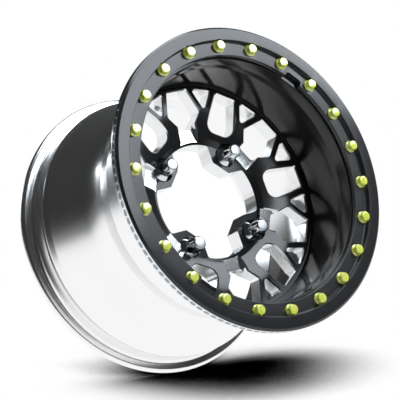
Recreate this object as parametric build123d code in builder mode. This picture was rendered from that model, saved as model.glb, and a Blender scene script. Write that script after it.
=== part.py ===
# Beadlock car wheel: a spun barrel, a forged mesh centre welded into it, and a clamp ring
# bolted to its front. The origin is the middle of the hub face, the axle runs along Z and
# the front of the wheel looks up, so the wheel lies on its rear flange. +X runs through one
# hexagonal window of the centre.
import os
from math import radians, tan

from build123d import *

os.makedirs("parts", exist_ok=True)

# Rim sizes, in millimetres
bead_seat_r = 189.85  # heel of the bead seats, a 15 inch rim
rim_width = 252.0  # between the two bead faces, a 10 inch rim
hub_to_front = 127.0  # hub face to the face that carries the ring
flange_h = 16.0  # rear flange above its bead seat
lip_w = 7.5  # rear flange, front to back
bead_seat_w = 22.0
bead_taper = 5.0  # degrees
hump_h = 2.8  # safety hump above the toe of the rear seat
hump_w = 18.0
wall = 5.2
waist_len = 26.0  # straight waist behind the centre

# Dish, in front of the centre
face_to_hub = 41.5  # mesh face above the hub face
dish_depth = 26.85  # floor of the dish below the heel of the bead seats
dish_taper = 1.4  # the dish opens by this much up to its step
dish_step_h = 1.2
dish_step_w = 8.3
dish_step_to_front = 26.3  # lower edge of the step to the front face
dish_front_taper = 0.8  # and by this much from the step to the front
drum_wall = 6.0

# Centre
disc_ledge_w = 2.65  # ledge of the barrel round the face of the centre
disc_edge_t = 16.0
shoulder_w = 2.5  # shoulder of the barrel under the edge of the centre
flat_r = 131.0  # the face is flat outside this radius and falls to the hub inside it
hub_r = 96.5
hub_wall_r = 81.0
hub_bevel_w = 7.2  # bevel round the hub opening
hub_edge_to_pad = 7.0  # height of that bevel above the lug pads
face_mid_drop = 3.2  # fall of the face halfway between the hub bevel and flat_r
arm_t = 22.0  # arms, from the flat of the face to their flat back
arm_root_r = 121.0  # the back is flat outside this radius and falls to the hub inside it
hub_flank_h = 4.0  # straight rim of the hub at the back

# Lug pads and nuts
pad_t = 25.5
bore_r = 57.5
lug_circle_r = 78.0
lug_count = 4
lug_angle = 45.0  # first lug, degrees from a hexagonal window
lug_hole_r = 7.0
pad_inner_half = 14.0  # half the width of a pad at the bore
pad_flare = 45.0  # degrees, the sides of a pad spread by this much towards the hub wall
pad_corner_r = 4.0

# Windows: x runs outward from the axle, y across, half widths
window_pairs = 6  # hexagonal and rounded windows of each kind
window_web = 4.8  # metal between the windows and the edge of the centre
hex_outer_half = 16.0
hex_mid_x = 122.0
hex_mid_half = 27.0
slot_half = 14.5
slot_mouth_x = 107.5  # where the hexagon meets its slot
slot_end_x = 101.5  # rounded inner end of the opening
slot_depth = 13.0  # floor of the slot below the flat of the face
hex_corner_r = 4.0
round_outer_half = 16.0
round_inner_x = 98.5
round_inner_half = 22.0
round_inner_r = 12.5
window_corner_r = 2.5
triangle_half = 14.6
triangle_tip_x = 127.5
triangle_tip_shift = 3.2  # the tip leans towards the rounded window
triangle_tip_r = 3.0

# Clamp ring and its bolts
ring_setback = 2.3  # inner edge of the ring outside the mouth of the dish
ring_over_flange = 0.75  # outer edge of the ring past the rear flange
ring_bolt_t = 8.0  # thickness under the bolt heads
ring_lip_h = 6.5  # raised outer zone above the bolt zone
ring_lip_slope = 1.2
ring_bevel = 3.0
ring_back_bevel = 1.2
notch_w = 26.0
notch_depth = 7.5
notch_r = 4.5
bolt_count = 22
bolt_below_seat = 9.35  # bolt circle inside the heel of the bead seats
bolt_to_lip = 7.5  # bolt circle to the raised zone of the ring
bolt_phase = -5.76  # first bolt, degrees from a hexagonal window
bolt_d = 8.0
bolt_len = 24.0
bolt_flange_r = 8.3
bolt_flange_t = 1.4
bolt_cone_h = 1.6
bolt_head_af = 12.0
bolt_head_h = 8.6
bolt_top_r = 4.9

# Lug nuts
nut_flange_r = 15.6
nut_flange_t = 2.2
nut_cone_h = 3.6
nut_af = 18.0
nut_h = 27.0
nut_end_r = 7.8
nut_bore_r = 5.2
nut_bore_depth = 20.0

# Valve
valve_hole_r = 5.75
valve_below_shoulder = 17.0
valve_angle = 15.0  # degrees from a hexagonal window, behind a triangular one

# Clearances
seat_clear = 0.05  # centre in its seat
pilot_clear = 0.3  # back of the centre inside the shoulder of the barrel
tap_clear = 0.1  # bolt in its tapped hole
bolt_hole_clear = 0.4
tap_runout = 2.0  # tapped hole beyond the end of the bolt
nut_spot_clear = 1.0  # spot face round a nut flange
bolt_spot_clear = 0.6  # spot face round a bolt flange
edge_break = 0.8

# Levels and radii that several pieces share
front_z = hub_to_front
rear_z = front_z - rim_width
rear_end_z = rear_z - lip_w
face_z = face_to_hub
seat_z = face_z - disc_edge_t
dish_floor_r = bead_seat_r - dish_depth
seat_r = dish_floor_r - disc_ledge_w
disc_r = seat_r - seat_clear
hub_edge_r = hub_wall_r + hub_bevel_w
flange_r = bead_seat_r + flange_h
bolt_circle_r = bead_seat_r - bolt_below_seat
ring_seat_z = front_z + ring_bolt_t
hub_edge_z = pad_t + hub_edge_to_pad
bolt_pitch = 360 / bolt_count
window_pitch = 360 / window_pairs

# Barrel: one spun profile from the front face round the outside to the rear flange and back
# along the inside
shoulder_r = disc_r - shoulder_w
waist_r = shoulder_r + wall
waist_z = seat_z - wall
drum_r = dish_floor_r + drum_wall
drum_end_z = face_z + wall
seat_toe_r = bead_seat_r - bead_seat_w * tan(radians(bead_taper))
front_toe_z = front_z - bead_seat_w
drum_start_z = front_toe_z - (seat_toe_r - drum_r)
rear_toe_z = rear_z + bead_seat_w
hump_r = seat_toe_r + hump_h
hump_foot_z = rear_toe_z + hump_w
hump_foot_r = seat_toe_r - hump_h / 2
rear_bore_r = seat_toe_r - wall
step_low_r = dish_floor_r + dish_taper
step_low_z = front_z - dish_step_to_front
step_high_r = step_low_r + dish_step_h
step_high_z = step_low_z + dish_step_w
dish_front_r = step_high_r + dish_front_taper

with BuildPart() as barrel:
    with BuildSketch(Plane.XZ):
        with BuildLine():
            FilletPolyline(
                (dish_front_r, front_z),
                (bead_seat_r, front_z),
                (seat_toe_r, front_toe_z),
                (drum_r, drum_start_z),
                (drum_r, drum_end_z),
                (waist_r, waist_z),
                (waist_r, waist_z - waist_len),
                (hump_foot_r, hump_foot_z),
                (hump_r, rear_toe_z + hump_w / 2),
                (seat_toe_r, rear_toe_z),
                (bead_seat_r, rear_z),
                (flange_r, rear_z),
                (flange_r, rear_end_z),
                (rear_bore_r, rear_end_z),
                (rear_bore_r, hump_foot_z),
                (shoulder_r, waist_z - waist_len),
                (shoulder_r, seat_z),
                (seat_r, seat_z),
                (seat_r, face_z),
                (dish_floor_r, face_z),
                (step_low_r, step_low_z),
                (step_high_r, step_high_z),
                radius=[
                    edge_break,
                    edge_break,
                    wall,
                    2 * wall,
                    wall / 2,
                    wall / 2,
                    20 * wall,
                    2 * wall,
                    wall,
                    wall,
                    flange_h / 3,
                    flange_h / 3,
                    edge_break,
                    wall / 2,
                    4 * wall,
                    20 * wall,
                    0,
                    0,
                    0,
                    edge_break,
                    edge_break,
                    edge_break,
                ],
                close=True,
            )
        make_face()
    revolve(axis=Axis.Z)
    with Locations(Plane.XY.offset(front_z)):
        with PolarLocations(bolt_circle_r, bolt_count, start_angle=bolt_phase):
            Hole(bolt_d / 2 + tap_clear, depth=bolt_len - ring_bolt_t + tap_runout)
    with BuildSketch(Plane.YZ.rotated((0, 0, valve_angle))):
        with Locations((0, seat_z - valve_below_shoulder)):
            Circle(valve_hole_r)
    extrude(amount=drum_r, mode=Mode.SUBTRACT)

barrel.part.label = "barrel"
export_step(barrel.part, "parts/barrel.step")

# Window outlines, drawn with +X pointing out along a spoke of the pattern
window_out_x = disc_r - window_web
slot_floor_z = face_z - slot_depth

with BuildSketch() as hex_opening:
    with BuildLine():
        outline = FilletPolyline(
            (slot_mouth_x, slot_half),
            (hex_mid_x, hex_mid_half),
            (window_out_x, hex_outer_half),
            (window_out_x, -hex_outer_half),
            (hex_mid_x, -hex_mid_half),
            (slot_mouth_x, -slot_half),
            radius=[hex_corner_r, window_corner_r, window_corner_r, hex_corner_r],
        )
        ThreePointArc(outline @ 1, (slot_end_x, 0), outline @ 0)
    make_face()

with BuildSketch() as hex_pocket:
    add(hex_opening.sketch)
    with Locations((bore_r, 0)):
        Rectangle(slot_mouth_x - bore_r, 2 * slot_half, align=(Align.MIN, Align.CENTER))

with BuildSketch() as round_opening:
    with BuildLine():
        FilletPolyline(
            (window_out_x, round_outer_half),
            (round_inner_x, round_inner_half),
            (round_inner_x, -round_inner_half),
            (window_out_x, -round_outer_half),
            radius=[window_corner_r, round_inner_r, round_inner_r, window_corner_r],
            close=True,
        )
    make_face()

with BuildSketch() as triangle_opening:
    with BuildLine():
        FilletPolyline(
            (window_out_x, triangle_half),
            (triangle_tip_x, triangle_tip_shift),
            (window_out_x, -triangle_half),
            radius=[window_corner_r, triangle_tip_r, window_corner_r],
            close=True,
        )
    make_face()

# The hub opening leaves the four lug pads standing in from the hub wall
pad_root_half = pad_inner_half + (hub_edge_r - bore_r) * tan(radians(pad_flare))

with BuildSketch() as pad_outline:
    Polygon(
        (0, pad_inner_half),
        (bore_r, pad_inner_half),
        (hub_edge_r, pad_root_half),
        (hub_edge_r, -pad_root_half),
        (bore_r, -pad_inner_half),
        (0, -pad_inner_half),
        align=None,
    )

with BuildSketch() as hub_opening:
    Circle(hub_wall_r)
    with PolarLocations(0, lug_count, start_angle=lug_angle):
        add(pad_outline.sketch, mode=Mode.SUBTRACT)
    Circle(bore_r)
    offset(amount=-pad_corner_r, mode=Mode.REPLACE)
    offset(amount=pad_corner_r, mode=Mode.REPLACE)

# Centre: a forging whose face falls to the hub in two cones, then the slots, the windows, the
# hub opening and the lug holes
face_mid_r = (hub_edge_r + flat_r) / 2
arm_back_z = face_z - arm_t
pilot_r = shoulder_r - pilot_clear

with BuildPart() as wheel_center:
    with BuildSketch(Plane.XZ):
        with BuildLine():
            Polyline(
                (flat_r, face_z),
                (disc_r, face_z),
                (disc_r, seat_z),
                (pilot_r, seat_z),
                (pilot_r, arm_back_z),
                (arm_root_r, arm_back_z),
                (hub_r, hub_flank_h),
                (hub_r, 0),
                (bore_r, 0),
                (bore_r, pad_t),
                (hub_wall_r, pad_t),
                (hub_edge_r, hub_edge_z),
                (face_mid_r, face_z - face_mid_drop),
                close=True,
            )
        make_face()
    revolve(axis=Axis.Z)
    with BuildSketch(Plane.XY.offset(slot_floor_z)):
        with PolarLocations(0, window_pairs):
            add(hex_pocket.sketch)
    extrude(amount=slot_depth, mode=Mode.SUBTRACT)
    with BuildSketch():
        with PolarLocations(0, window_pairs):
            add(hex_opening.sketch)
        with PolarLocations(0, window_pairs, start_angle=window_pitch / 2):
            add(round_opening.sketch)
        with PolarLocations(0, window_pairs, start_angle=window_pitch / 4):
            add(triangle_opening.sketch)
        with PolarLocations(0, window_pairs, start_angle=-window_pitch / 4):
            add(mirror(triangle_opening.sketch, about=Plane.XZ, mode=Mode.PRIVATE))
    extrude(amount=face_z, mode=Mode.SUBTRACT)
    extrude(hub_opening.sketch, amount=pad_t, mode=Mode.SUBTRACT)
    with BuildSketch(Plane.XY.offset(pad_t)):
        with PolarLocations(lug_circle_r, lug_count, start_angle=lug_angle):
            Circle(nut_flange_r + nut_spot_clear)
    extrude(amount=face_z - pad_t, mode=Mode.SUBTRACT)
    with Locations(Plane.XY.offset(pad_t)):
        with PolarLocations(lug_circle_r, lug_count, start_angle=lug_angle):
            Hole(lug_hole_r)

wheel_center.part.label = "wheel_center"
export_step(wheel_center.part, "parts/wheel_center.step")

# Clamp ring: a stepped flat ring with two notches midway between bolts
ring_inner_r = dish_front_r + ring_setback
ring_outer_r = flange_r + ring_over_flange
ring_lip_r = bolt_circle_r + bolt_to_lip
ring_top_z = ring_seat_z + ring_lip_h
notch_angle = bolt_phase + bolt_pitch * (bolt_count - 5) / 2

with BuildPart() as beadlock_ring:
    with BuildSketch(Plane.XZ):
        with BuildLine():
            Polyline(
                (ring_inner_r, front_z),
                (ring_outer_r - ring_back_bevel, front_z),
                (ring_outer_r, front_z + ring_back_bevel),
                (ring_outer_r, ring_top_z - ring_bevel),
                (ring_outer_r - ring_bevel, ring_top_z),
                (ring_lip_r, ring_top_z),
                (ring_lip_r - ring_lip_slope, ring_seat_z),
                (ring_inner_r + edge_break, ring_seat_z),
                (ring_inner_r, ring_seat_z - edge_break),
                close=True,
            )
        make_face()
    revolve(axis=Axis.Z)
    with BuildSketch(Plane.XY.offset(front_z)):
        with PolarLocations(ring_inner_r, 2, start_angle=notch_angle):
            RectangleRounded(2 * notch_depth, notch_w, notch_r)
    extrude(amount=ring_bolt_t, mode=Mode.SUBTRACT)
    with BuildSketch(Plane.XY.offset(ring_seat_z)):
        with PolarLocations(bolt_circle_r, bolt_count, start_angle=bolt_phase):
            Circle(bolt_flange_r + bolt_spot_clear)
    extrude(amount=ring_lip_h, mode=Mode.SUBTRACT)
    with Locations(Plane.XY.offset(ring_seat_z)):
        with PolarLocations(bolt_circle_r, bolt_count, start_angle=bolt_phase):
            Hole(bolt_d / 2 + bolt_hole_clear)

beadlock_ring.part.label = "beadlock_ring"
export_step(beadlock_ring.part, "parts/beadlock_ring.step")

# Ring bolts: flanged hex heads, one bolt made on the axle and copied round the ring
with BuildPart() as bolt:
    with BuildSketch(Plane.XY.offset(ring_seat_z)):
        RegularPolygon(bolt_head_af / 2, 6, major_radius=False)
    extrude(amount=bolt_head_h)
    with BuildSketch(Plane.XZ):
        with BuildLine():
            Polyline(
                (0, ring_seat_z),
                (bolt_flange_r, ring_seat_z),
                (bolt_flange_r, ring_seat_z + bolt_head_h - (bolt_flange_r - bolt_top_r) / 2),
                (bolt_top_r, ring_seat_z + bolt_head_h),
                (0, ring_seat_z + bolt_head_h),
                close=True,
            )
        make_face()
    revolve(axis=Axis.Z, mode=Mode.INTERSECT)
    with BuildSketch(Plane.XZ):
        with BuildLine():
            Polyline(
                (0, ring_seat_z - bolt_len),
                (bolt_d / 2 - edge_break, ring_seat_z - bolt_len),
                (bolt_d / 2, ring_seat_z - bolt_len + edge_break),
                (bolt_d / 2, ring_seat_z),
                (bolt_flange_r, ring_seat_z),
                (bolt_flange_r, ring_seat_z + bolt_flange_t),
                (bolt_head_af / 2, ring_seat_z + bolt_flange_t + bolt_cone_h),
                (0, ring_seat_z + bolt_flange_t + bolt_cone_h),
                close=True,
            )
        make_face()
    revolve(axis=Axis.Z)

with BuildPart() as beadlock_bolts:
    with PolarLocations(bolt_circle_r, bolt_count, start_angle=bolt_phase):
        add(bolt.part)

beadlock_bolts.part.label = "beadlock_bolts"
export_step(beadlock_bolts.part, "parts/beadlock_bolts.step")

# Lug nuts: closed flanged hex nuts, one made on the axle and copied to the four pads
with BuildPart() as nut:
    with BuildSketch(Plane.XY.offset(pad_t)):
        RegularPolygon(nut_af / 2, 6, major_radius=False)
    extrude(amount=nut_h)
    with BuildSketch(Plane.XZ):
        with BuildLine():
            Polyline(
                (0, pad_t),
                (nut_flange_r, pad_t),
                (nut_flange_r, pad_t + nut_h - (nut_flange_r - nut_end_r)),
                (nut_end_r, pad_t + nut_h),
                (0, pad_t + nut_h),
                close=True,
            )
        make_face()
    revolve(axis=Axis.Z, mode=Mode.INTERSECT)
    with BuildSketch(Plane.XZ):
        with BuildLine():
            Polyline(
                (0, pad_t),
                (nut_flange_r, pad_t),
                (nut_flange_r, pad_t + nut_flange_t),
                (nut_af / 2, pad_t + nut_flange_t + nut_cone_h),
                (0, pad_t + nut_flange_t + nut_cone_h),
                close=True,
            )
        make_face()
    revolve(axis=Axis.Z)
    with BuildSketch(Plane.XY.offset(pad_t)):
        Circle(nut_bore_r)
    extrude(amount=nut_bore_depth, mode=Mode.SUBTRACT)

with BuildPart() as lug_nuts:
    with PolarLocations(lug_circle_r, lug_count, start_angle=lug_angle):
        add(nut.part)

lug_nuts.part.label = "lug_nuts"
export_step(lug_nuts.part, "parts/lug_nuts.step")
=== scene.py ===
from math import atan2, cos, pi, radians, sin, tan

import bmesh
import bpy
from mathutils import Matrix, Vector


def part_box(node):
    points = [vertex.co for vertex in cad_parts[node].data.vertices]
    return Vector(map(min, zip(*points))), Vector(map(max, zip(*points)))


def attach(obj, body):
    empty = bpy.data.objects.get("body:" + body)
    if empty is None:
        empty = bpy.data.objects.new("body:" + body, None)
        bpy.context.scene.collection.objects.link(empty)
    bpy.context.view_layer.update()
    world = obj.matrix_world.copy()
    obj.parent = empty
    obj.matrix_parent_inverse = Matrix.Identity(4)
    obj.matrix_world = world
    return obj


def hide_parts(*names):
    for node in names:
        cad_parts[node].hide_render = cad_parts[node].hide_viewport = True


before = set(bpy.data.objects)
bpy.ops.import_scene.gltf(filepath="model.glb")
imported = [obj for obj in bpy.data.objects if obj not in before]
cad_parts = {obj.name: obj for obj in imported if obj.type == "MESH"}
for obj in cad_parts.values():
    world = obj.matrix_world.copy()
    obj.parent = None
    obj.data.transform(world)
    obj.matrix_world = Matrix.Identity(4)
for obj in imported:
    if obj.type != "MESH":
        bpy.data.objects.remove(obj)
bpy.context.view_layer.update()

# Barrel: one piece of spun aluminium, polished outside and at the back. The dish in front of
# the centre is painted gloss black. The roller rounds its corners, and the seat is turned sharp.
mm = 0.001
bead_seat_r = 189.85 * mm
seat_toe_r = 187.93 * mm
drum_r = 169.0 * mm
waist_r = 163.0 * mm
dish_floor_r = 163.0 * mm
seat_r = 160.35 * mm
shoulder_r = 157.8 * mm
barrel_wall = 5.2 * mm
bead_seat_w = 22.0 * mm
face_z = 41.5 * mm
seat_z = 25.5 * mm
barrel_low, barrel_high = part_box("barrel")
rear_end_z = barrel_low[2]
front_z = barrel_high[2]
flange_r = barrel_high[0]
flange_w = 7.5 * mm
flange_round = 5.3 * mm
edge_round = 0.8 * mm
rear_z = rear_end_z + flange_w
toe_z = rear_z + bead_seat_w
hump_foot_z = toe_z + 18 * mm
hump_foot_drop = 1.4 * mm
hump_top_z = toe_z + 9 * mm
hump_h = 2.8 * mm
waist_rear_z = seat_z - barrel_wall - 26 * mm
dish_step_r, dish_step_z = 164.4 * mm, 100.7 * mm
dish_lip_r, dish_lip_z = 165.6 * mm, 109.0 * mm
dish_mouth_r = 166.4 * mm
painted_end_r = 178 * mm


def rounded_outline(corners, steps=6):
    """Closed outline through corners given as x, y and corner radius."""
    outline = []
    for index, (x, y, radius) in enumerate(corners):
        corner = Vector((x, y))
        back = (Vector(corners[index - 1][:2]) - corner).normalized()
        ahead = (Vector(corners[(index + 1) % len(corners)][:2]) - corner).normalized()
        if radius == 0:
            outline.append(corner)
            continue
        half = back.angle(ahead) / 2
        middle = corner + (back + ahead).normalized() * (radius / sin(half))
        first = corner + back * (radius / tan(half)) - middle
        last = corner + ahead * (radius / tan(half)) - middle
        turn = atan2(first.x * last.y - first.y * last.x, first.dot(last))
        for step in range(steps + 1):
            outline.append(middle + Matrix.Rotation(turn * step / steps, 2) @ first)
    return outline


def lathe(name, outline, segments):
    """Closed ring turned about the axle from an outline of radius and height."""
    count = len(outline)
    vertices = []
    for turn in range(segments):
        angle = 2 * pi * turn / segments
        vertices += [(r * cos(angle), r * sin(angle), z) for r, z in outline]
    faces = []
    for turn in range(segments):
        here = turn * count
        there = (turn + 1) % segments * count
        for step in range(count):
            after = (step + 1) % count
            faces.append((here + step, there + step, there + after, here + after))
    mesh = bpy.data.meshes.new(name)
    mesh.from_pydata(vertices, [], faces)
    return mesh


def finish_mesh(mesh, sharp=35):
    """Merge doubles, drop stray points, turn faces outwards, keep edges past the angle crisp."""
    work = bmesh.new()
    work.from_mesh(mesh)
    bmesh.ops.remove_doubles(work, verts=work.verts, dist=0.002 * mm)
    stray = [vertex for vertex in work.verts if not vertex.link_faces]
    bmesh.ops.delete(work, geom=stray, context="VERTS")
    bmesh.ops.recalc_face_normals(work, faces=work.faces)
    for face in work.faces:
        face.smooth = True
    work.to_mesh(mesh)
    work.free()
    mesh.set_sharp_from_angle(angle=radians(sharp))


def put_in_scene(name, mesh):
    piece = bpy.data.objects.new(name, mesh)
    bpy.context.scene.collection.objects.link(piece)
    return piece


def prism(name, outline, low, high):
    """A plain upright bar with the outline given, used as a cutting tool."""
    count = len(outline)
    vertices = [(p.x, p.y, z) for z in (low, high) for p in outline]
    faces = [tuple(range(count))[::-1], tuple(range(count, 2 * count))]
    for step in range(count):
        after = (step + 1) % count
        faces.append((step, after, count + after, count + step))
    mesh = bpy.data.meshes.new(name)
    mesh.from_pydata(vertices, [], faces)
    return mesh


def circle(radius, segments=64):
    turns = [2 * pi * step / segments for step in range(segments)]
    return [Vector((radius * cos(turn), radius * sin(turn))) for turn in turns]


def cut(mesh, *tools):
    """The mesh with each tool cut out of it in turn; cut faces keep the tool's material."""
    work = put_in_scene("work", mesh)
    for tool in tools:
        blade = put_in_scene("blade", tool)
        modifier = work.modifiers.new("cut", "BOOLEAN")
        modifier.operation = "DIFFERENCE"
        modifier.solver = "EXACT"
        modifier.material_mode = "TRANSFER"
        modifier.object = blade
    finished = work.evaluated_get(bpy.context.evaluated_depsgraph_get())
    result = bpy.data.meshes.new_from_object(finished)
    for modifier in list(work.modifiers):
        blade = modifier.object
        work.modifiers.remove(modifier)
        bpy.data.objects.remove(blade)
    bpy.data.objects.remove(work)
    return result


class Value:
    """A socket of a node tree that takes part in plain arithmetic."""

    def __init__(self, socket):
        self.socket = socket
        self.tree = socket.id_data

    def node(self, kind, settings=None, inputs=None, output=0):
        made = self.tree.nodes.new(kind)
        for key, setting in (settings or {}).items():
            if key == "stops":
                for spot, (place, color) in enumerate(setting):
                    stops = made.color_ramp.elements
                    stop = stops[spot] if spot < 2 else stops.new(place)
                    stop.position = place
                    stop.color = color
            else:
                setattr(made, key, setting)
        for key, source in (inputs or {}).items():
            if isinstance(source, Value):
                self.tree.links.new(source.socket, made.inputs[key])
            else:
                made.inputs[key].default_value = source
        return Value(made.outputs[output])

    def math(self, operation, first, second=0.0):
        return self.node("ShaderNodeMath", {"operation": operation}, {0: first, 1: second})

    def __add__(self, other):
        return self.math("ADD", self, other)

    __radd__ = __add__

    def __sub__(self, other):
        return self.math("SUBTRACT", self, other)

    def __rsub__(self, other):
        return self.math("SUBTRACT", other, self)

    def __mul__(self, other):
        return self.math("MULTIPLY", self, other)

    __rmul__ = __mul__

    def __truediv__(self, other):
        return self.math("DIVIDE", self, other)

    def __rtruediv__(self, other):
        return self.math("DIVIDE", other, self)

    def to(self, shader, socket):
        self.tree.links.new(self.socket, shader.inputs[socket])


def new_material(name, color, metallic, roughness=0.5):
    """A material with its shader, and the Object coordinates as a value to build on."""
    material = bpy.data.materials.new(name)
    material.use_nodes = True
    shader = material.node_tree.nodes["Principled BSDF"]
    shader.inputs["Base Color"].default_value = (*color, 1)
    shader.inputs["Metallic"].default_value = metallic
    shader.inputs["Roughness"].default_value = roughness
    place = Value(material.node_tree.nodes.new("ShaderNodeTexCoord").outputs["Object"])
    return material, shader, place


def copies_tree():
    """Copies of a shape round the axle: count, radius, first angle, and a chance turn of each copy."""
    tree = bpy.data.node_groups.new("copies_round_axle", "GeometryNodeTree")
    for name, kind in (
        ("Geometry", "Geometry"), ("Count", "Int"), ("Radius", "Float"), ("First Angle", "Float"),
        ("Loose Turn", "Float"), ("Material", "Material"),
    ):
        tree.interface.new_socket(name, in_out="INPUT", socket_type="NodeSocket" + kind)
    tree.interface.new_socket("Geometry", in_out="OUTPUT", socket_type="NodeSocketGeometry")
    given = tree.nodes.new("NodeGroupInput")
    shape, count, radius, first, loose, material = (Value(socket) for socket in given.outputs[:6])
    index = shape.node("GeometryNodeInputIndex")
    angle = first + index * (2 * pi) / count
    spot = shape.node("ShaderNodeCombineXYZ", None, {
        0: radius * shape.math("COSINE", angle), 1: radius * shape.math("SINE", angle), 2: 0.0,
    })
    points = shape.node("GeometryNodePoints", None, {"Count": count, "Position": spot})
    chance = shape.node("FunctionNodeRandomValue", {"data_type": "FLOAT"}, {
        2: 0.0, 3: 1.0, "Seed": 7,
    }, output=1)
    turned = shape.node("ShaderNodeCombineXYZ", None, {0: 0.0, 1: 0.0, 2: angle + chance * loose})
    copies = shape.node("GeometryNodeInstanceOnPoints", None, {
        "Points": points, "Instance": shape, "Rotation": turned,
    })
    real = shape.node("GeometryNodeRealizeInstances", None, {"Geometry": copies})
    painted = shape.node("GeometryNodeSetMaterial", None, {"Geometry": real, "Material": material})
    painted.to(tree.nodes.new("NodeGroupOutput"), 0)
    return tree


copies_round_axle = copies_tree()


def copied(name, mesh, count, radius, first_angle, material, loose_turn=0.0):
    """A plain mesh of copies of a shape, set round the axle from a first angle in degrees."""
    mesh.materials.append(material)
    shape = put_in_scene(name + "_shape", mesh)
    modifier = shape.modifiers.new("copies", "NODES")
    modifier.node_group = copies_round_axle
    values = {"Count": count, "Radius": radius, "First Angle": radians(first_angle),
              "Loose Turn": loose_turn, "Material": material}
    for item in copies_round_axle.interface.items_tree:
        if item.in_out == "INPUT" and item.name in values:
            modifier[item.identifier] = values[item.name]
    finished = shape.evaluated_get(bpy.context.evaluated_depsgraph_get())
    result = bpy.data.meshes.new_from_object(finished)
    result.name = name
    shape.modifiers.remove(modifier)
    bpy.data.objects.remove(shape)
    return result


def noise(place, scale, detail=3.0):
    return place.node("ShaderNodeTexNoise", None, {"Vector": place, "Scale": scale, "Detail": detail})


def grain(shader, pattern, roughness, spread, strength):
    """Let a pattern vary the roughness and stand a tenth of a millimetre proud at full strength."""
    (roughness + pattern * spread).to(shader, "Roughness")
    pattern.node("ShaderNodeBump", None, {
        "Strength": strength, "Distance": 0.1 * mm, "Height": pattern,
    }).to(shader, "Normal")


def lathe_lines(place, fine):
    """Noise drawn out round the axle, as a turning tool leaves it: it changes along r and z only."""
    radius = place.node("ShaderNodeVectorMath", {"operation": "LENGTH"}, {
        0: place.node("ShaderNodeVectorMath", {"operation": "MULTIPLY"}, {0: place, 1: (1, 1, 0)})
    }, output="Value")
    height = place.node("ShaderNodeSeparateXYZ", None, {0: place}, output="Z")
    line = place.node("ShaderNodeCombineXYZ", None, {0: radius * fine, 1: height * fine, 2: 0.0})
    return noise(line, 1.0, detail=4.0)


polished, shader, place = new_material("polished_aluminium", (0.95, 0.95, 0.95), 1.0)
grain(shader, lathe_lines(place, 900), roughness=0.18, spread=0.1, strength=0.04)

gloss_black, shader, place = new_material("gloss_black_paint", (0.012, 0.012, 0.012), 0.0)
grain(shader, noise(place, 700.0, detail=2.0), roughness=0.1, spread=0.1, strength=0.05)

barrel_outline = rounded_outline([
    (dish_mouth_r, front_z, edge_round),
    (painted_end_r, front_z, 0),
    (bead_seat_r, front_z, edge_round),
    (seat_toe_r, front_z - bead_seat_w, barrel_wall),
    (drum_r, front_z - bead_seat_w - (seat_toe_r - drum_r), 2 * barrel_wall),
    (drum_r, face_z + barrel_wall, barrel_wall / 2),
    (waist_r, seat_z - barrel_wall, barrel_wall / 2),
    (waist_r, waist_rear_z, 20 * barrel_wall),
    (seat_toe_r - hump_foot_drop, hump_foot_z, 2 * barrel_wall),
    (seat_toe_r + hump_h, hump_top_z, barrel_wall),
    (seat_toe_r, toe_z, barrel_wall),
    (bead_seat_r, rear_z, flange_round),
    (flange_r, rear_z, flange_round),
    (flange_r, rear_end_z, edge_round),
    (seat_toe_r - barrel_wall, rear_end_z, barrel_wall / 2),
    (seat_toe_r - barrel_wall, hump_foot_z, 4 * barrel_wall),
    (shoulder_r, waist_rear_z, 20 * barrel_wall),
    (shoulder_r, seat_z, 0),
    (seat_r, seat_z, 0),
    (seat_r, face_z, 0),
    (dish_floor_r, face_z, edge_round),
    (dish_step_r, dish_step_z, edge_round),
    (dish_lip_r, dish_lip_z, edge_round),
], steps=10)
barrel_mesh = lathe("spun_barrel", barrel_outline, 288)
barrel_mesh.materials.append(polished)
barrel_mesh.materials.append(gloss_black)
for polygon in barrel_mesh.polygons:
    radius = polygon.center.xy.length
    in_dish = polygon.center.z > face_z - 1 * mm and radius < dish_mouth_r + 0.2 * mm
    on_end = polygon.center.z > front_z - 1 * mm and radius < painted_end_r
    polygon.material_index = int(in_dish or on_end)
valve_hole_r = 5.75 * mm
valve_z = seat_z - 17 * mm
valve_angle = radians(15)
valve_reach = 20 * mm
valve_tool = prism(
    "valve_tool", circle(valve_hole_r, 32), shoulder_r - valve_reach, waist_r + valve_reach
)
valve_tool.materials.append(polished)
lay = Matrix.Rotation(valve_angle, 4, "Z") @ Matrix.Rotation(pi / 2, 4, "Y")
valve_tool.transform(Matrix.Translation((0, 0, valve_z)) @ lay)
bolt_circle_r = 180.5 * mm
bolt_count = 22
bolt_first = -5.76  # degrees
tapped_hole_r = 4.1 * mm
tapped_hole_h = 18 * mm
overrun = 5 * mm
tapped_hole = prism(
    "tapped_hole", circle(tapped_hole_r, 24), front_z - tapped_hole_h, front_z + overrun
)
tapped_holes = copied("tapped_holes", tapped_hole, bolt_count, bolt_circle_r, bolt_first, polished)
barrel_mesh = cut(barrel_mesh, valve_tool, tapped_holes)
finish_mesh(barrel_mesh, sharp=30)
barrel_piece = put_in_scene("spun_barrel", barrel_mesh)
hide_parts("barrel")
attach(barrel_piece, "root")

# Centre: a forged aluminium disc, coated satin black, then milled: the windows are cut through
# the coating, so their walls, bevels and the six slots are bare metal. It is welded in the barrel.
disc_r = 160.3 * mm
flat_r = 131.0 * mm
hub_edge_r = 88.2 * mm
hub_wall_r = 81.0 * mm
hub_r = 96.5 * mm
bore_r = 57.5 * mm
pad_t = 25.5 * mm
hub_edge_z = pad_t + 7 * mm
window_out_x = disc_r - 4.8 * mm
slot_floor_z = face_z - 13 * mm
window_bevel = 1.6 * mm
window_count = 6
lug_circle_r = 78.0 * mm
lug_count = 4
lug_first = 45  # degrees
fall_straight, fall_curved = 3.8, 5.2  # in mm


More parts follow.
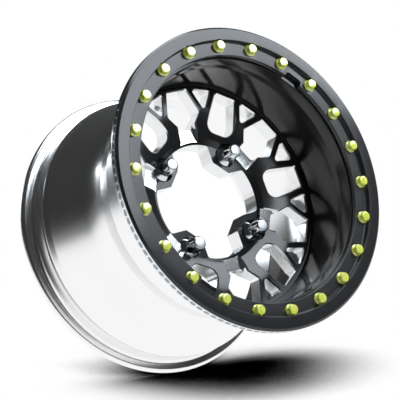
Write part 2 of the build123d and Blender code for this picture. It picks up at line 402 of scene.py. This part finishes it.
def face_height(radius):
    """Height of the front of the centre: flat outside, falling in a curve to the hub."""
    if radius >= flat_r:
        return face_z
    if radius >= hub_edge_r:
        share = (flat_r - radius) / (flat_r - hub_edge_r)
        return face_z - (fall_straight * share + fall_curved * share * share) * mm
    share = max(0.0, (radius - hub_wall_r) / (hub_edge_r - hub_wall_r))
    return pad_t + (hub_edge_z - pad_t) * share


def widened(outline, by):
    """The outline moved outwards by a distance, corner by corner."""
    moved = []
    for index, point in enumerate(outline):
        into = (point - outline[index - 1]).normalized()
        out = (outline[(index + 1) % len(outline)] - point).normalized()
        first = Vector((into.y, -into.x))
        second = Vector((out.y, -out.x))
        moved.append(point + (first + second) * (by / (1 + first.dot(second))))
    return moved


def cutter(name, outline, bottom, bevel):
    """A closed tool that cuts an outline through the face, with a bevel that follows the face."""
    area = sum(a.x * b.y - b.x * a.y for a, b in zip(outline, outline[1:] + outline[:1]))
    if area < 0:
        outline = outline[::-1]
    wide = widened(outline, bevel + 1 * mm)
    count = len(outline)
    vertices = [(p.x, p.y, bottom) for p in outline]
    for p in outline:
        vertices.append((p.x, p.y, max(bottom + 0.2 * mm, face_height(p.length) - bevel)))
    for p, w in zip(outline, wide):
        vertices.append((w.x, w.y, max(bottom + 0.4 * mm, face_height(p.length) + 1 * mm)))
    vertices += [(w.x, w.y, face_z + 20 * mm) for w in wide]
    faces = [tuple(range(count))[::-1], tuple(range(3 * count, 4 * count))]
    for level in range(3):
        for step in range(count):
            after = (step + 1) % count
            low = level * count
            faces.append((low + step, low + after, low + count + after, low + count + step))
    mesh = bpy.data.meshes.new(name)
    mesh.from_pydata(vertices, [], faces)
    return mesh


satin_black, shader, place = new_material("satin_black_coat", (0.022, 0.022, 0.023), 0.0)
grain(shader, noise(place, 1500.0), roughness=0.15, spread=0.08, strength=0.06)

# The mill leaves marks that run up and down the walls of the windows
milled, shader, place = new_material("milled_aluminium", (0.86, 0.87, 0.88), 1.0)
upright = place.node("ShaderNodeMapping", None, {"Vector": place, "Scale": (1500, 1500, 60)})
grain(shader, noise(upright, 1.0), roughness=0.12, spread=0.16, strength=0.08)

back_z = face_z - 22 * mm
back_foot_r = 121 * mm
spigot_r = shoulder_r - 0.3 * mm
hub_edge_t = 4 * mm
face_steps = 24
front_radii = [disc_r - (disc_r - hub_edge_r) * step / face_steps for step in range(face_steps + 1)]
disc_outline = [Vector((radius, face_height(radius))) for radius in front_radii]
disc_outline += [Vector(point) for point in (
    (hub_wall_r, pad_t),
    (bore_r, pad_t),
    (bore_r, 0),
    (hub_r, 0),
    (hub_r, hub_edge_t),
    (back_foot_r, back_z),
    (spigot_r, back_z),
    (spigot_r, seat_z),
    (disc_r, seat_z),
)]
disc_mesh = lathe("disc", disc_outline, 240)
disc_mesh.materials.append(satin_black)
finish_mesh(disc_mesh)

window_corner = 2.5 * mm
hex_half = 16.0 * mm
hex_wide_x, hex_wide_half, hex_wide_corner = 122 * mm, 27 * mm, 4 * mm
slot_half = 14.5 * mm
slot_mouth_x = 107.5 * mm
slot_in_x, slot_out_x = 70 * mm, 112 * mm
end_x, end_half, end_corner = 101.5 * mm, slot_half - 2 * mm, 5 * mm
hex_window = [
    (slot_mouth_x, -slot_half, 1 * mm),
    (hex_wide_x, -hex_wide_half, hex_wide_corner),
    (window_out_x, -hex_half, window_corner),
    (window_out_x, hex_half, window_corner),
    (hex_wide_x, hex_wide_half, hex_wide_corner),
    (slot_mouth_x, slot_half, 1 * mm),
    (end_x, end_half, end_corner),
    (end_x, -end_half, end_corner),
]
slot = [
    (slot_in_x, -slot_half, 0),
    (slot_out_x, -slot_half, 0),
    (slot_out_x, slot_half, 0),
    (slot_in_x, slot_half, 0),
]
round_in_x, round_in_half, round_in_corner = 98.5 * mm, 22 * mm, 12.5 * mm
round_out_x = window_out_x - 1 * mm
rounded_window = [
    (round_out_x, hex_half, window_corner),
    (round_in_x, round_in_half, round_in_corner),
    (round_in_x, -round_in_half, round_in_corner),
    (round_out_x, -hex_half, window_corner),
]
triangle_half = 14.6 * mm
triangle_tip_x, triangle_tip_corner = 127.5 * mm, 3 * mm
triangle_lean = 3.2 * mm
triangle_tools = []
for lean in (triangle_lean, -triangle_lean):
    triangle = rounded_outline([
        (window_out_x, triangle_half, window_corner),
        (triangle_tip_x, lean, triangle_tip_corner),
        (window_out_x, -triangle_half, window_corner),
    ])
    triangle_tools.append(cutter("triangle_tool", triangle, -overrun, window_bevel))
hex_tool = cutter("hex_tool", rounded_outline(hex_window), -overrun, window_bevel)
slot_tool = cutter("slot_tool", rounded_outline(slot), slot_floor_z, window_bevel)
round_tool = cutter("round_tool", rounded_outline(rounded_window), -overrun, window_bevel)

# The hub opening: a round wall with four pads that reach in to the bore
pad_side = radians(45)
pad_half = 14 * mm
pad_reach = 31 * mm
pad_tip_corner, pad_root_corner = 2 * mm, 4 * mm
wall_steps = 8
tip = Vector((bore_r, pad_half))
root = tip + Vector((cos(pad_side), sin(pad_side))) * (pad_reach - pad_half) / sin(pad_side)
root_angle = atan2(root.y, root.x)
pad_corners = (
    (root.x, -root.y, pad_root_corner),
    (tip.x, -tip.y, pad_tip_corner),
    (tip.x, tip.y, pad_tip_corner),
    (root.x, root.y, pad_root_corner),
)
hub_corners = []
for lug in range(lug_count):
    lug_angle = radians(lug_first + 360 / lug_count * lug)
    for x, y, corner in pad_corners:
        spot = Matrix.Rotation(lug_angle, 2) @ Vector((x, y))
        hub_corners.append((spot.x, spot.y, corner))
    for step in range(1, wall_steps):
        angle = lug_angle + root_angle + (pi / 2 - 2 * root_angle) * step / wall_steps
        hub_corners.append((hub_wall_r * cos(angle), hub_wall_r * sin(angle), 0))

nut_seat_r = 16.6 * mm
lug_hole_r = 7 * mm
hub_tool = prism("hub_tool", rounded_outline(hub_corners), -overrun, face_z)
nut_seat = prism("nut_seat", circle(nut_seat_r), pad_t, face_z)
lug_hole = prism("lug_hole", circle(lug_hole_r), -overrun, face_z)

center_mesh = cut(
    disc_mesh,
    copied("hex_cuts", hex_tool, window_count, 0.0, 0, milled),
    copied("slot_cuts", slot_tool, window_count, 0.0, 0, milled),
    copied("round_cuts", round_tool, window_count, 0.0, 30, milled),
    copied("triangle_cuts", triangle_tools[0], window_count, 0.0, 15, milled),
    copied("triangle_cuts_back", triangle_tools[1], window_count, 0.0, -15, milled),
    copied("hub_cut", hub_tool, 1, 0.0, 0, milled),
    copied("nut_seats", nut_seat, lug_count, lug_circle_r, lug_first, satin_black),
    copied("lug_holes", lug_hole, lug_count, lug_circle_r, lug_first, milled),
)
finish_mesh(center_mesh, sharp=25)
center_piece = put_in_scene("mesh_center", center_mesh)
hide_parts("wheel_center")
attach(center_piece, "root")

# Clamp ring: a stepped aluminium ring, coated satin black, bolted on the barrel to grip the tyre.
# Its rim is turned bare and knurled, and its inner edge has two notches for a lever.
ring_low, ring_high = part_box("beadlock_ring")
ring_back_z = ring_low[2]
ring_top_z = ring_high[2]
ring_outer_r = ring_high[0]
ring_seat_z = ring_back_z + 8 * mm
ring_inner_r = 168.7 * mm
lip_r = 188 * mm
lip_slope = 1.2 * mm
back_chamfer = 1.2 * mm
front_chamfer = 3 * mm
ring_outline = rounded_outline([
    (ring_inner_r, ring_back_z, 0.3 * mm),
    (ring_outer_r - back_chamfer, ring_back_z, 0.3 * mm),
    (ring_outer_r, ring_back_z + back_chamfer, 0.3 * mm),
    (ring_outer_r, ring_top_z - front_chamfer, 0.3 * mm),
    (ring_outer_r - front_chamfer, ring_top_z, 0.4 * mm),
    (lip_r, ring_top_z, 0.5 * mm),
    (lip_r - lip_slope, ring_seat_z, 0.5 * mm),
    (ring_inner_r, ring_seat_z, 0.7 * mm),
], steps=4)
ring_mesh = lathe("ring", ring_outline, 360)

ring_black, shader, place = new_material("ring_black_coat", (0.03, 0.03, 0.032), 0.0)
grain(shader, noise(place, 1300.0), roughness=0.14, spread=0.08, strength=0.06)


def smooth_step(value, low, high, at_low, at_high):
    return value.node("ShaderNodeMapRange", {"interpolation_type": "SMOOTHSTEP"}, {
        "Value": value, "From Min": low, "From Max": high, "To Min": at_low, "To Max": at_high,
    })


# The knurl: a row of long ovals round the rim, pressed into the bare metal. Their hollows carry
# painted shade, a darker blue-grey in the base colour
knurl_count = 120
oval_pitch = 2.4  # in half lengths of an oval
oval_half_w = 3 * mm
rim_middle_z = (ring_back_z + ring_top_z) / 2 - 1 * mm
rim_metal, rim_painted_shade = (0.85, 0.86, 0.87), (0.3, 0.36, 0.42)
bare_rim, shader, place = new_material("bare_knurled_rim", rim_metal, 1.0, roughness=0.2)
x, y, z = (place.node("ShaderNodeSeparateXYZ", None, {0: place}, output=axis) for axis in "XYZ")
turn = place.math("ARCTAN2", y, x) * (knurl_count / (2 * pi))
around = (place.math("FRACT", turn) - 0.5) * oval_pitch
along = (z - rim_middle_z) / oval_half_w
oval = smooth_step(around * around + along * along, 0.7, 1.2, 1.0, 0.0)
# Painted shade: the base colour turns darker blue-grey inside each oval
knurl_painted_shade = place.node("ShaderNodeMix", {"data_type": "RGBA"}, {
    "Factor": oval, 6: (*rim_metal, 1), 7: (*rim_painted_shade, 1),
}, output=2)
knurl_painted_shade.to(shader, "Base Color")
place.node("ShaderNodeBump", {"invert": True}, {
    "Strength": 0.6, "Distance": 0.5 * mm, "Height": oval,
}).to(shader, "Normal")

ring_mesh.materials.append(ring_black)
ring_mesh.materials.append(bare_rim)
finish_mesh(ring_mesh)
for polygon in ring_mesh.polygons:
    on_rim = polygon.center.xy.length > ring_outer_r - 0.4 * mm
    polygon.material_index = int(on_rim and polygon.center.z < ring_top_z - front_chamfer)
notch_depth = 7.5 * mm
notch_half = 13 * mm
notch = rounded_outline([
    (-notch_depth, -notch_half, 2 * mm),
    (notch_depth, -notch_half, 4.5 * mm),
    (notch_depth, notch_half, 4.5 * mm),
    (-notch_depth, notch_half, 2 * mm),
])
notch_first = bolt_first + 8.5 * 360 / bolt_count
bolt_flange_r = 8.3 * mm
bolt_hole_r = 4.4 * mm
spot_face_r = bolt_flange_r + 0.6 * mm
spot_face_z = ring_seat_z - 0.05 * mm
tool_low, tool_high = ring_back_z - overrun, ring_top_z + overrun
notch_tool = prism("notch_tool", notch, tool_low, tool_high)
bolt_seat = prism("bolt_seat", circle(spot_face_r, 48), spot_face_z, tool_high)
bolt_hole = prism("bolt_hole", circle(bolt_hole_r, 24), tool_low, tool_high)
ring_mesh = cut(
    ring_mesh,
    copied("bolt_holes", bolt_hole, bolt_count, bolt_circle_r, bolt_first, ring_black),
    copied("notches", notch_tool, 2, ring_inner_r, notch_first, ring_black),
    copied("bolt_seats", bolt_seat, bolt_count, bolt_circle_r, bolt_first, ring_black),
)
finish_mesh(ring_mesh, sharp=25)
ring_piece = put_in_scene("clamp_ring", ring_mesh)
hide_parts("beadlock_ring")
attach(ring_piece, "root")


# Ring bolts: steel bolts with flanged hex heads, zinc plated and passivated yellow-green.
# Each stands in its own spot face, turned as the wrench left it.
def hex_head(name, levels, segments=48):
    """A head built up in loops: each level has a height, a radius and a hexagon's half width."""
    vertices = []
    for height, radius, half_flats in levels:
        for step in range(segments):
            angle = 2 * pi * step / segments
            reach = radius
            if half_flats:
                reach = min(radius, half_flats / cos((angle + pi / 6) % (pi / 3) - pi / 6))
            vertices.append((reach * cos(angle), reach * sin(angle), height))
    faces = [tuple(range(segments))[::-1]]
    for level in range(len(levels) - 1):
        low = level * segments
        for step in range(segments):
            after = (step + 1) % segments
            faces.append((low + step, low + after, low + segments + after, low + segments + step))
    top = (len(levels) - 1) * segments
    faces.append(tuple(range(top, top + segments)))
    mesh = bpy.data.meshes.new(name)
    mesh.from_pydata(vertices, [], faces)
    return mesh


bolt_head = hex_head("bolt_head", [
    (ring_seat_z - 24 * mm, 3.2 * mm, 0),
    (ring_seat_z - 23.2 * mm, 4 * mm, 0),
    (ring_seat_z, 4 * mm, 0),
    (ring_seat_z, 8.1 * mm, 0),
    (ring_seat_z + 0.3 * mm, bolt_flange_r, 0),
    (ring_seat_z + 1.2 * mm, bolt_flange_r, 0),
    (ring_seat_z + 1.5 * mm, 8.0 * mm, 0),
    (ring_seat_z + 2.8 * mm, 6.6 * mm, 6.2 * mm),
    (ring_seat_z + 3.1 * mm, 6.7 * mm, 6 * mm),
    (ring_seat_z + 7.4 * mm, 6.8 * mm, 6 * mm),
    (ring_seat_z + 8.2 * mm, 6.1 * mm, 6 * mm),
    (ring_seat_z + 8.35 * mm, 5.2 * mm, 0),
    (ring_seat_z + 8.5 * mm, 3.6 * mm, 0),
    (ring_seat_z + 8.6 * mm, 1.2 * mm, 0),
])
zinc_deep, zinc_pale = (0.78, 0.92, 0.07), (0.98, 1.0, 0.22)
yellow_zinc, shader, place = new_material("yellow_zinc_plate", zinc_pale, 0.0)
shader.inputs["IOR"].default_value = 2.2
cloud = noise(place, 160.0)
tone = place.node("ShaderNodeValToRGB", {
    "stops": [(0.35, (*zinc_deep, 1)), (0.65, (*zinc_pale, 1))],
}, {"Fac": cloud})
tone.to(shader, "Base Color")
(0.08 + cloud * 0.12).to(shader, "Roughness")
hex_turn = pi / 3
bolts_mesh = copied(
    "ring_bolts", bolt_head, bolt_count, bolt_circle_r, bolt_first, yellow_zinc, loose_turn=hex_turn
)
finish_mesh(bolts_mesh, sharp=25)
bolts_piece = put_in_scene("ring_bolts", bolts_mesh)
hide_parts("beadlock_bolts")
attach(bolts_piece, "root")

# Lug nuts: closed steel nuts with a broad flange, forged and chrome plated. One is screwed down
# on each lug pad, and its end is duller than its sides.
nut_h = 27 * mm
nut_flange_r = 15.6 * mm
nut_bore_r = 5.2 * mm
nut_body = hex_head("nut_body", [
    (pad_t + 20 * mm, nut_bore_r, 0),
    (pad_t, nut_bore_r, 0),
    (pad_t, 15.2 * mm, 0),
    (pad_t + 0.4 * mm, nut_flange_r, 0),
    (pad_t + 1.9 * mm, nut_flange_r, 0),
    (pad_t + 2.3 * mm, 15.2 * mm, 0),
    (pad_t + 5.4 * mm, 10.2 * mm, 9.3 * mm),
    (pad_t + 6.0 * mm, 10.2 * mm, 9 * mm),
    (pad_t + nut_h - 3.4 * mm, 10.2 * mm, 9 * mm),
    (pad_t + nut_h - 1.6 * mm, 9 * mm, 9 * mm),
    (pad_t + nut_h - 0.8 * mm, 8.1 * mm, 0),
    (pad_t + nut_h - 0.5 * mm, 7.4 * mm, 0),
    (pad_t + nut_h - 0.22 * mm, 5.5 * mm, 0),
    (pad_t + nut_h - 0.06 * mm, 3 * mm, 0),
    (pad_t + nut_h, 0.8 * mm, 0),
], segments=72)
chrome, shader, place = new_material("chrome_plate", (0.7, 0.73, 0.77), 1.0)
height = place.node("ShaderNodeSeparateXYZ", None, {0: place}, output="Z")
end = place.node("ShaderNodeMapRange", None, {
    "Value": height, "From Min": pad_t + nut_h - 0.7 * mm, "From Max": pad_t + nut_h - 0.5 * mm,
})
(0.03 + noise(place, 90.0) * 0.06 + end * 0.4).to(shader, "Roughness")
nuts_mesh = copied(
    "chrome_nuts", nut_body, lug_count, lug_circle_r, lug_first, chrome, loose_turn=hex_turn
)
finish_mesh(nuts_mesh, sharp=25)
nuts_piece = put_in_scene("chrome_nuts", nuts_mesh)
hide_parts("lug_nuts")
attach(nuts_piece, "root")

# Studio: a white floor that touches the rear flange, tilted so that the wheel leans as in the
# photograph. A large soft lamp stands to the right, one hangs overhead, a narrow one is at the left.
camera_place = Vector((-0.2202, 1.0848, 1.4416))
camera_aim = Vector((-0.0072, 0.0664, 0.0972))
camera_roll = radians(61.04)
camera_dip = radians(6)
photo_width_px = 400
focal_px = 1319.05
camera_data = bpy.data.cameras.new("photo_camera")
camera_data.sensor_width = 36.0
camera_data.lens = focal_px * camera_data.sensor_width / photo_width_px
camera = put_in_scene("photo_camera", camera_data)
look = (camera_aim - camera_place).to_track_quat("-Z", "Y").to_matrix().to_4x4()
camera.matrix_world = Matrix.Translation(camera_place) @ look @ Matrix.Rotation(camera_roll, 4, "Z")
bpy.context.scene.camera = camera

# The floor's own axes: right and away as the camera sees them, and up, square to the floor
right, picture_up, behind = (camera.matrix_world.to_3x3().col[axis].copy() for axis in range(3))
up = picture_up * cos(camera_dip) + behind * sin(camera_dip)
away = up.cross(right)
floor_drop = up.xy.length * flange_r - up.z * rear_end_z + 0.2 * mm


def in_studio(across, back, height):
    return right * across + away * back + up * (height - floor_drop)


def light_path(tree):
    """Light Path's camera, glossy and transmission rays as values."""
    rays = tree.nodes.new("ShaderNodeLightPath").outputs
    return [Value(rays[name]) for name in ("Is Camera Ray", "Is Glossy Ray", "Is Transmission Ray")]


floor_half = 20.0
floor_mesh = bpy.data.meshes.new("studio_floor")
floor_corners = [
    in_studio(floor_half * across, floor_half * back, 0)
    for across, back in ((-1, -1), (1, -1), (1, 1), (-1, 1))
]
floor_mesh.from_pydata(floor_corners, [], [(0, 1, 2, 3)])
floor, shader, place = new_material("studio_white", (0.95, 0.95, 0.95), 0.0, roughness=0.6)
camera_ray, glossy_ray, clear_ray = light_path(floor.node_tree)
# Metal mirrors a white floor near the wheel and a darker one farther off
distance = place.node("ShaderNodeVectorMath", {"operation": "LENGTH"}, {0: place}, output="Value")
near = smooth_step(distance, 1.0, 2.2, 1.0, 0.0)
# The camera sees a white glow on the floor with a painted shadow: the glow darkens the more of the sky
# above it the wheel covers, with that sky leaned towards the camera
shadow_reach = 0.3
sky_lean = radians(50)
sky = up * cos(sky_lean) - away * sin(sky_lean)
lean = place.node("ShaderNodeCombineXYZ", None, {0: sky.x, 1: sky.y, 2: sky.z})
open_sky = place.node("ShaderNodeAmbientOcclusion", {"samples": 32}, {
    "Distance": shadow_reach, "Normal": lean,
}, output="AO")
shade = smooth_step(open_sky, 0.58, 0.84, 0.0, 1.0)
# Painted shadow: the occlusion darkens the colour of the floor's glow
tone = place.math("MAXIMUM", shade, place.math("MAXIMUM", glossy_ray, clear_ray))
glow = place.node("ShaderNodeEmission", None, {"Color": tone, "Strength": 1.0})
share = place.math("MAXIMUM", camera_ray, place.math("MAXIMUM", glossy_ray * near, clear_ray))
mixed = place.node("ShaderNodeMixShader", None, {0: share, 1: Value(shader.outputs[0]), 2: glow})
# From below, the floor lets the view through
below = place.node("ShaderNodeNewGeometry", output="Backfacing")
clear = place.node("ShaderNodeBsdfTransparent")
seen = place.node("ShaderNodeMixShader", None, {0: below, 1: mixed, 2: clear})
seen.to(floor.node_tree.nodes["Material Output"], "Surface")
floor_mesh.materials.append(floor)
floor_piece = put_in_scene("studio_floor", floor_mesh)


def soft_lamp(name, place, width, height, power):
    """A soft lamp at a place in the studio, turned to the wheel."""
    lamp = bpy.data.lights.new(name, "AREA")
    lamp.shape = "RECTANGLE"
    lamp.size = width
    lamp.size_y = height
    lamp.energy = power
    lamp.color = (0.88, 0.94, 1.0)
    piece = put_in_scene(name, lamp)
    facing = place.normalized()
    side = up.cross(facing).normalized()
    turn = Matrix((side, facing.cross(side), facing)).transposed().to_4x4()
    piece.matrix_world = Matrix.Translation(place) @ turn


soft_lamp("right_lamp", in_studio(1.15, -0.2, 1.35), 1.3, 0.75, 19.2)
soft_lamp("top_lamp", in_studio(-0.1, 0.3, 1.9), 1.2, 1.2, 21.3)
soft_lamp("left_lamp", in_studio(-1.45, 1.1, 0.42), 0.12, 0.5, 1.2)

world = bpy.data.worlds.new("studio_surround")
world.use_nodes = True
surround = world.node_tree.nodes["Background"]
surround.inputs["Color"].default_value = (1, 1, 1, 1)
camera_ray, glossy_ray, clear_ray = light_path(world.node_tree)
toward = Value(world.node_tree.nodes.new("ShaderNodeTexCoord").outputs["Object"])
climb = toward.node("ShaderNodeVectorMath", {"operation": "DOT_PRODUCT"}, {
    0: toward, 1: up,
}, output="Value")
# The view has a white backdrop. Metal mirrors it below the skyline and a dark room above
room_dark, room_light = 0.03, 0.12
mirrored = smooth_step(climb, -0.2, 0.05, 1.0, room_dark)
plain = camera_ray.math("MAXIMUM", camera_ray, clear_ray)
strength = plain + (1 - plain) * (mirrored * glossy_ray + (1 - glossy_ray) * room_light)
strength.to(surround, "Strength")
bpy.context.scene.world = world
bpy.context.scene.view_settings.view_transform = "Standard"
